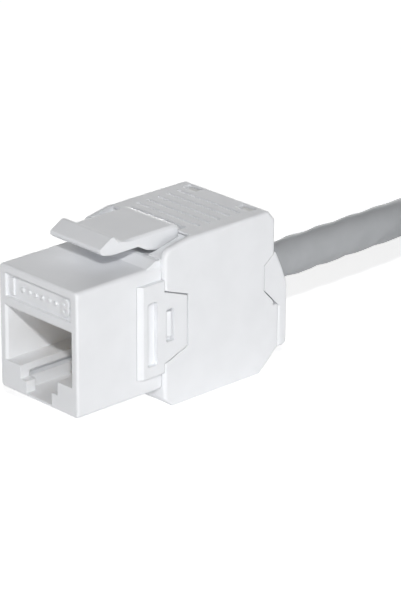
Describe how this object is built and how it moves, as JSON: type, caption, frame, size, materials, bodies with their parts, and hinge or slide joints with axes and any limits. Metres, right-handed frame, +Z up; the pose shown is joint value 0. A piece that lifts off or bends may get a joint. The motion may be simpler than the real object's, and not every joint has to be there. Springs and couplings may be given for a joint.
{
  "type": "keystone jack",
  "caption": "Snap-in keystone module with a modular plug port at the front, a panel latch on top, a press-on rear cap and a round data cable held by a strain relief.",
  "frame": {"origin": "middle of the jack's base: half way from the front face to the strain relief's rear, on the plane it rests on", "axes": "+Y from the front face to the cable, +Z up to the panel latch, +X to the right as seen from the front"},
  "size_m": [0.0561, 0.1162, 0.0235],
  "materials": {
    "white_plastic": "fine satin",
    "inner_plastic": "satin",
    "carrier_plastic": "satin",
    "board": "solder mask",
    "contact_plating": "polished",
    "blade_plating": "tinned",
    "cable_jacket": "satin",
    "tie_plastic": "satin",
    "wire_white_blue": "satin",
    "wire_blue": "satin",
    "wire_white_orange": "satin",
    "wire_orange": "satin",
    "wire_white_green": "satin",
    "wire_green": "satin",
    "wire_white_brown": "satin",
    "wire_brown": "satin"
  },
  "bodies": {
    "housing": {"front_housing": "white_plastic", "side_clip_left": "white_plastic", "side_clip_right": "white_plastic", "contact_carrier": "carrier_plastic", "circuit_board": "board", "terminal_block": "inner_plastic", "contact_1": "contact_plating", "contact_2": "contact_plating", "contact_3": "contact_plating", "contact_4": "contact_plating", "contact_5": "contact_plating", "contact_6": "contact_plating", "contact_7": "contact_plating", "contact_8": "contact_plating", "blade_1": "blade_plating", "blade_2": "blade_plating", "blade_3": "blade_plating", "blade_4": "blade_plating", "blade_5": "blade_plating", "blade_6": "blade_plating", "blade_7": "blade_plating", "blade_8": "blade_plating"},
    "latch": {"latch_arm": "white_plastic"},
    "cap": {"rear_shell": "white_plastic", "wire_guide": "inner_plastic", "strain_relief": "white_plastic", "conductor_1": "wire_white_blue", "conductor_2": "wire_blue", "conductor_3": "wire_white_orange", "conductor_4": "wire_orange", "conductor_5": "wire_white_green", "conductor_6": "wire_green", "conductor_7": "wire_white_brown", "conductor_8": "wire_brown", "cable": "cable_jacket", "cable_coil": "cable_jacket", "cable_tie": "tie_plastic"}
  },
  "joints": [
    {"name": "latch_flex", "type": "hinge", "parent": "housing", "child": "latch", "pos_m": [0, 0.0007, 0.02085], "axis": [1, 0, 0], "range_deg": [0, 7], "stiffness_Nm_per_rad": 0.4},
    {"name": "cap_slide", "type": "slide", "parent": "housing", "child": "cap", "axis": [0, 1, 0], "range_m": [0, 0.008], "deforming": ["side_clip_left", "side_clip_right"]}
  ]
}
